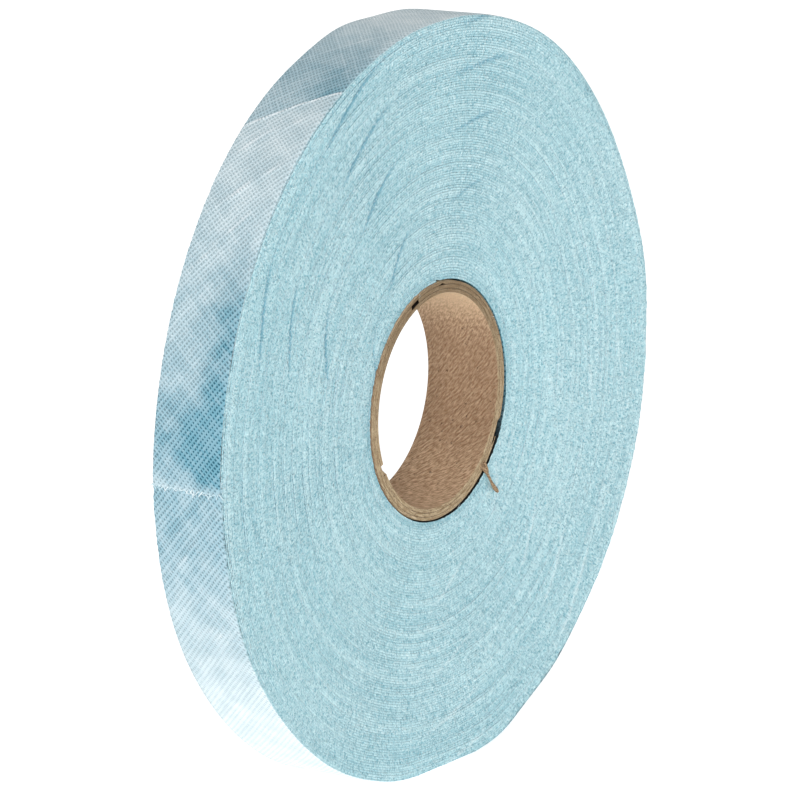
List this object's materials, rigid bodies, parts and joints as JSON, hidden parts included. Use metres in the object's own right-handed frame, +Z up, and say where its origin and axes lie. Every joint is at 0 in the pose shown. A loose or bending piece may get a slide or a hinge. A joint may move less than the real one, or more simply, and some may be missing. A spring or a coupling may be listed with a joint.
{
  "type": "hand wrap",
  "caption": "Roll of narrow bias-cut gauze hand wrap on a spiral-wound paper core, with a free end that lifts off the roll.",
  "frame": {"origin": "centre of the core's bore, at the middle of the tape's width", "axes": "+Y along the bore from the front face to the back, +Z up, as the roll stands on its tread; +X to the right as seen from the front"},
  "size_m": [0.136, 0.0146, 0.1348],
  "materials": {
    "gauze": "open plain-weave cotton gauze, pale aqua, matt and fuzzy at the cut edges",
    "kraft_board": "brown kraft paper board, matt, with a fine paper grain"
  },
  "bodies": {
    "roll": {"core_inner_ply": "kraft_board", "core_middle_ply": "kraft_board", "core_outer_ply": "kraft_board", "end_length_root": "gauze", "gauze_length_01": "gauze", "gauze_length_02": "gauze", "gauze_length_03": "gauze", "gauze_length_04": "gauze", "gauze_length_05": "gauze", "gauze_length_06": "gauze", "gauze_length_07": "gauze", "gauze_length_08": "gauze", "gauze_length_09": "gauze", "gauze_length_10": "gauze", "gauze_length_11": "gauze", "gauze_length_12": "gauze", "gauze_length_13": "gauze", "gauze_length_14": "gauze", "gauze_length_15": "gauze", "gauze_length_16": "gauze", "gauze_length_17": "gauze", "gauze_length_18": "gauze", "gauze_length_19": "gauze", "gauze_length_20": "gauze"},
    "tail_1": {"tail_segment_1": "gauze"},
    "tail_2": {"tail_segment_2": "gauze"},
    "tail_3": {"tail_segment_3": "gauze"},
    "tail_4": {"tail_segment_4": "gauze"}
  },
  "joints": [
    {"name": "tail_lift_1", "type": "hinge", "parent": "roll", "child": "tail_1", "pos_m": [-0.04377, 0, 0.05217], "axis": [0, 1, 0], "range_deg": [0, 30]},
    {"name": "tail_lift_2", "type": "hinge", "parent": "tail_1", "child": "tail_2", "pos_m": [-0.05439, 0, 0.04098], "axis": [0, 1, 0], "range_deg": [0, 30]},
    {"name": "tail_lift_3", "type": "hinge", "parent": "tail_2", "child": "tail_3", "pos_m": [-0.06221, 0, 0.0277], "axis": [0, 1, 0], "range_deg": [0, 30]},
    {"name": "tail_lift_4", "type": "hinge", "parent": "tail_3", "child": "tail_4", "pos_m": [-0.06685, 0, 0.01299], "axis": [0, 1, 0], "range_deg": [0, 30]}
  ],
  "couplings": [
    {"joint": "tail_lift_2", "follows": "tail_lift_1", "ratio": 1},
    {"joint": "tail_lift_3", "follows": "tail_lift_1", "ratio": 1},
    {"joint": "tail_lift_4", "follows": "tail_lift_1", "ratio": 1}
  ]
}
